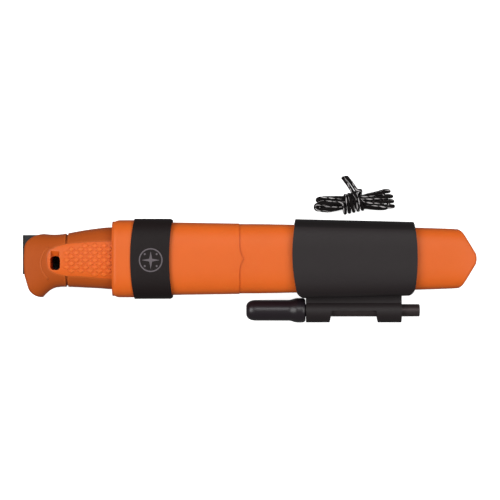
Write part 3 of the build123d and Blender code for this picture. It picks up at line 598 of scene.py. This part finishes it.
# a low ridge curves round the panel's end on both faces, like a ripple beside it
ridge_middle, ridge_radius = Vector((core_lo.x + 8.2 * mm, -2.4 * mm, 0)), 11.4 * mm
ridge_width, ridge_stand, ridge_sweep = 0.9 * mm, 0.22 * mm, math.radians(100)
ripple = bmesh.new()
upright = Matrix.Rotation(math.pi / 2, 4, "Y")
bmesh.ops.create_circle(ripple, segments=12, radius=ridge_width / 2,
                        matrix=Matrix.Translation((0, ridge_radius, 0)) @ upright)
bmesh.ops.rotate(ripple, verts=ripple.verts, matrix=Matrix.Rotation((math.pi - ridge_sweep) / 2, 3, "Z"))
bmesh.ops.spin(ripple, geom=ripple.verts[:] + ripple.edges[:], cent=(0, 0, 0), axis=(0, 0, 1),
               angle=ridge_sweep, steps=32)
bmesh.ops.holes_fill(ripple, edges=[e for e in ripple.edges if e.is_boundary])
bmesh.ops.recalc_face_normals(ripple, faces=ripple.faces)
ripple_mesh = bpy.data.meshes.new("ripple")
ripple.to_mesh(ripple_mesh)
ripple.free()
rubber_surface = surface_of("grip_overmould")
ridges = bmesh.new()
for side in (1, -1):
    above = Vector((0, 0, side))
    before = len(ridges.verts)
    ridges.from_mesh(ripple_mesh)
    for v in list(ridges.verts)[before:]:
        start = ridge_middle + Vector((v.co.x, v.co.y * side, 0)) + above * cast_from
        under = rubber_surface.ray_cast(start, -above)
        v.co = under[0] + under[1] * (v.co.z * 2 * ridge_stand / ridge_width)
for face in ridges.faces:
    face.smooth = True
ridge_mesh = bpy.data.meshes.new("butt_ridge")
ridges.to_mesh(ridge_mesh)
ridges.free()
butt_ridge = bpy.data.objects.new("butt_ridge", ridge_mesh)
scene.collection.objects.link(butt_ridge)
ridge_mesh.materials.append(grip_rubber)
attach(butt_ridge, "knife")

# ---- Kit cover ---------------------------------------------------------------------------------------
# A charcoal polymer sleeve that slides over the sheath and holds the fire steel in two lugs below. Its
# skin is finely etched, and its rims are painted a little brighter, partly for wear and partly as painted
# highlight.
cover_charcoal, tree, shader, skin = moulded(
    "cover_charcoal", (0.0185, 0.0138, 0.0145), (0.04, 0.034, 0.035), 0.5, 2300.0, 0.03 * mm,
    Specular_IOR_Level=0.26,
)
# painted shade: along the upper rim, where the face turns away from the light, the colour is darker up to a
# clean line
cover_lo, cover_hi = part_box("kit_cover")
rim_depth, rim_slope = 4.4 * mm, 0.0275
places = tree.nodes.new("ShaderNodeSeparateXYZ")
tree.links.new(own_place(tree), places.inputs[0])
along = sums(tree, "SUBTRACT", places.outputs[0], cover_lo.x)
level = sums(tree, "MULTIPLY_ADD", along, rim_slope, places.outputs[1])
rim_line, line_half = cover_hi.y - rim_depth, 0.2 * mm
rim_shade = node(tree, "MapRange", level, rim_line - line_half, rim_line + line_half, 0.0, 0.55)
face_colour = shader.inputs["Base Color"].links[0].from_socket
tree.links.new(mix(tree, rim_shade, face_colour, (0.002, 0.0015, 0.0015)), shader.inputs["Base Color"])
nodes["kit_cover"].material_slots[0].material = cover_charcoal

# ---- Sharpening plate --------------------------------------------------------------------------------
# Nickelled steel plate with fine diamond grit on its open face, let into the back of the cover. Rows
# of small round pits without grit carry the swarf away.
plate_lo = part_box("sharpening_plate")[0]
pit_pitch, pit_radius = 3.4 * mm, 0.75 * mm
plate_grit, tree, shader = new_material("plate_grit", Metallic=0.9)
place = own_place(tree)
centred = node(tree, "Mapping", place, (-plate_lo.x, -plate_lo.y, 0), None, None)
cells = tree.nodes.new("ShaderNodeVectorMath")
cells.operation = "SCALE"
cells.inputs["Scale"].default_value = 1 / pit_pitch
tree.links.new(centred, cells.inputs[0])
parts = tree.nodes.new("ShaderNodeSeparateXYZ")
tree.links.new(cells.outputs[0], parts.inputs[0])
odd = sums(tree, "MULTIPLY", sums(tree, "FLOORED_MODULO", sums(tree, "FLOOR", parts.outputs[1]), 2.0), 0.5)
from_x = sums(tree, "SUBTRACT", sums(tree, "FRACT", sums(tree, "ADD", parts.outputs[0], odd)), 0.5)
from_y = sums(tree, "SUBTRACT", sums(tree, "FRACT", parts.outputs[1]), 0.5)
squares = sums(tree, "ADD", sums(tree, "POWER", from_x, 2.0), sums(tree, "POWER", from_y, 2.0))
from_pit = sums(tree, "SQRT", squares)
pit_floor = pit_radius - 0.12 * mm
pit = node(tree, "MapRange", from_pit, pit_radius / pit_pitch, pit_floor / pit_pitch, 0.0, 1.0)
grit = tree.nodes.new("ShaderNodeTexVoronoi")
grit.inputs["Scale"].default_value = 7000.0
tree.links.new(place, grit.inputs["Vector"])
grains = mix(tree, grit.outputs["Distance"], (0.46, 0.46, 0.47), (0.20, 0.20, 0.21))
tree.links.new(mix(tree, pit, grains, (0.09, 0.09, 0.095)), shader.inputs["Base Color"])
tree.links.new(sums(tree, "MULTIPLY_ADD", pit, -0.2, 0.52), shader.inputs["Roughness"])
tree.links.new(bump(tree, sums(tree, "MULTIPLY_ADD", pit, -6.0, grit.outputs["Distance"]), 0.03 * mm),
               shader.inputs["Normal"])
nodes["sharpening_plate"].material_slots[0].material = plate_grit

# ---- Fire steel --------------------------------------------------------------------------------------
# A cast rod of spark-making metal, brownish grey with fine casting pits and drag marks along it. It is
# pushed into a satin black moulded handle.
rod_metal, tree, shader = new_material("rod_metal", Metallic=0.55, Specular_IOR_Level=0.4)
place = own_place(tree)
drawn_out = node(tree, "Mapping", place, None, None, (0.04, 1, 1))
drag = node(tree, "TexNoise", drawn_out, 5200.0, 3.0, 0.6)
pits = node(tree, "TexNoise", place, 2400.0, 4.0, 0.7)
cast = mix(tree, drag, (0.032, 0.024, 0.024), (0.075, 0.058, 0.06))
tree.links.new(mix(tree, node(tree, "MapRange", pits, 0.36, 0.44, 1.0, 0.0), cast, (0.02, 0.016, 0.016)),
               shader.inputs["Base Color"])
tree.links.new(sums(tree, "MULTIPLY_ADD", drag, 0.2, 0.36), shader.inputs["Roughness"])
tree.links.new(bump(tree, sums(tree, "ADD", drag, pits), 0.02 * mm), shader.inputs["Normal"])
nodes["ferro_rod"].material_slots[0].material = rod_metal

nodes["striker_handle"].material_slots[0].material = moulded(
    "striker_black", (0.013, 0.0085, 0.012), (0.03, 0.025, 0.03), 0.33, 2600.0, 0.012 * mm,
    Specular_IOR_Level=0.5,
)[0]
